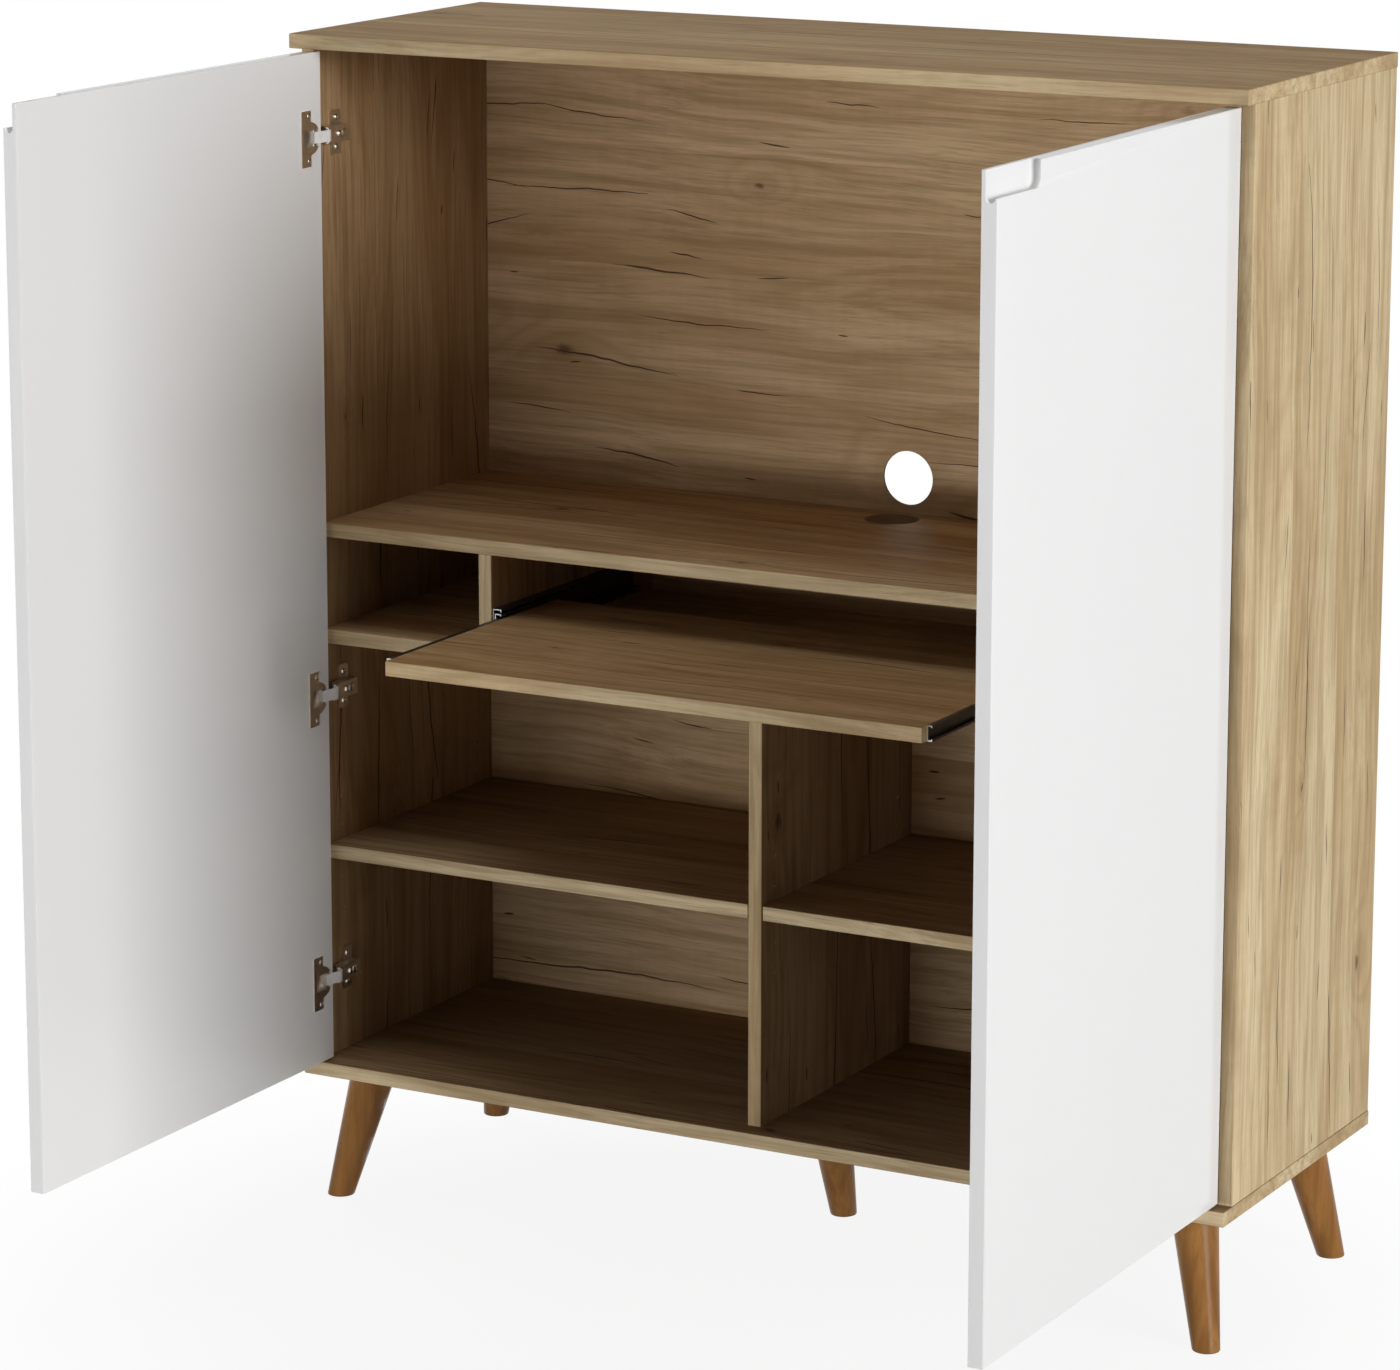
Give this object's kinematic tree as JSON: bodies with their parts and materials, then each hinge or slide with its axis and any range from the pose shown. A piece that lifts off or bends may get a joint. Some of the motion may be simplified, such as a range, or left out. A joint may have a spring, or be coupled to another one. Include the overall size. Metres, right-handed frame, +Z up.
{
  "type": "computer armoire",
  "caption": "Tall computer armoire with overlay doors on splayed tapered legs, a fixed desk shelf, a pull-out keyboard tray, side cubbies and adjustable lower shelves.",
  "frame": {"origin": "bottom centre of the whole part at rest, doors open at a right angle and tray pulled out", "axes": "+X to the user's right as they face the open doors, +Y to the back, +Z up"},
  "size_m": [1.1, 0.9256, 1.293],
  "materials": {
    "oak_ends": "matte oak decor on chipboard, grain along X",
    "oak_upright": "matte oak decor on chipboard, grain upright",
    "oak_shelf": "matte oak decor on chipboard, grain along X",
    "oak_tray": "matte oak decor on chipboard, grain along X",
    "oak_back": "matte oak decor on thin fibreboard",
    "leg_wood": "satin varnished solid wood",
    "door_white": "high-gloss white foil on chipboard",
    "hinge_nickel": "bright nickel plate",
    "zinc_steel": "bright zinc plate"
  },
  "bodies": {
    "carcass": {"back_panel": "oak_back", "bottom_panel": "oak_ends", "centre_divider": "oak_upright", "desk_shelf": "oak_shelf", "hinge_arm_left_bottom": "hinge_nickel", "hinge_arm_left_middle": "hinge_nickel", "hinge_arm_left_top": "hinge_nickel", "hinge_arm_right_bottom": "hinge_nickel", "hinge_arm_right_middle": "hinge_nickel", "hinge_arm_right_top": "hinge_nickel", "hinge_plate_left_bottom": "hinge_nickel", "hinge_plate_left_middle": "hinge_nickel", "hinge_plate_left_top": "hinge_nickel", "hinge_plate_right_bottom": "hinge_nickel", "hinge_plate_right_middle": "hinge_nickel", "hinge_plate_right_top": "hinge_nickel", "leg_plate_centre": "zinc_steel", "leg_plate_front_left": "zinc_steel", "leg_plate_front_right": "zinc_steel", "leg_plate_rear_left": "zinc_steel", "leg_plate_rear_right": "zinc_steel", "legs": "leg_wood", "lower_shelf_left": "oak_shelf", "lower_shelf_right": "oak_shelf", "mid_shelf": "oak_shelf", "shelf_pins": "zinc_steel", "side_panel_left": "oak_upright", "side_panel_right": "oak_upright", "slide_middle_left": "zinc_steel", "slide_middle_right": "zinc_steel", "slide_outer_left": "zinc_steel", "slide_outer_right": "zinc_steel", "top_panel": "oak_ends", "tray_divider_left": "oak_upright", "tray_divider_right": "oak_upright"},
    "left_hinge_links": {"hinge_link_left_bottom": "hinge_nickel", "hinge_link_left_middle": "hinge_nickel", "hinge_link_left_top": "hinge_nickel"},
    "right_hinge_links": {"hinge_link_right_bottom": "hinge_nickel", "hinge_link_right_middle": "hinge_nickel", "hinge_link_right_top": "hinge_nickel"},
    "door_left": {"door_left": "door_white", "hinge_cups_left": "hinge_nickel"},
    "door_right": {"door_right": "door_white", "hinge_cups_right": "hinge_nickel"},
    "tray": {"keyboard_tray": "oak_tray", "slide_inner_left": "zinc_steel", "slide_inner_right": "zinc_steel"}
  },
  "joints": [
    {"name": "left_link_swing", "type": "hinge", "parent": "carcass", "child": "left_hinge_links", "pos_m": [-0.52, 0.0977, 0.718], "axis": [0, 0, 1], "range_deg": [-46.63, 1.37]},
    {"name": "left_door_swing", "type": "hinge", "parent": "left_hinge_links", "child": "door_left", "pos_m": [-0.5248, 0.07529, 0.718], "axis": [0, 0, 1], "range_deg": [-4, 136.63]},
    {"name": "right_link_swing", "type": "hinge", "parent": "carcass", "child": "right_hinge_links", "pos_m": [0.52, 0.0977, 0.718], "axis": [0, 0, 1], "range_deg": [-1.37, 46.63]},
    {"name": "right_door_swing", "type": "hinge", "parent": "right_hinge_links", "child": "door_right", "pos_m": [0.5248, 0.07529, 0.718], "axis": [0, 0, 1], "range_deg": [-136.63, 4]},
    {"name": "tray_slide", "type": "slide", "parent": "carcass", "child": "tray", "axis": [0, 1, 0], "range_m": [-0.00688, 0.235]}
  ],
  "couplings": [
    {"joint": "left_link_swing", "follows": "left_door_swing", "ratio": -0.3413},
    {"joint": "right_link_swing", "follows": "left_door_swing", "ratio": 0.3413},
    {"joint": "right_door_swing", "follows": "left_door_swing", "ratio": -1},
    {"joint": "tray_slide", "follows": "left_door_swing", "m_per_rad": 0.098545}
  ]
}
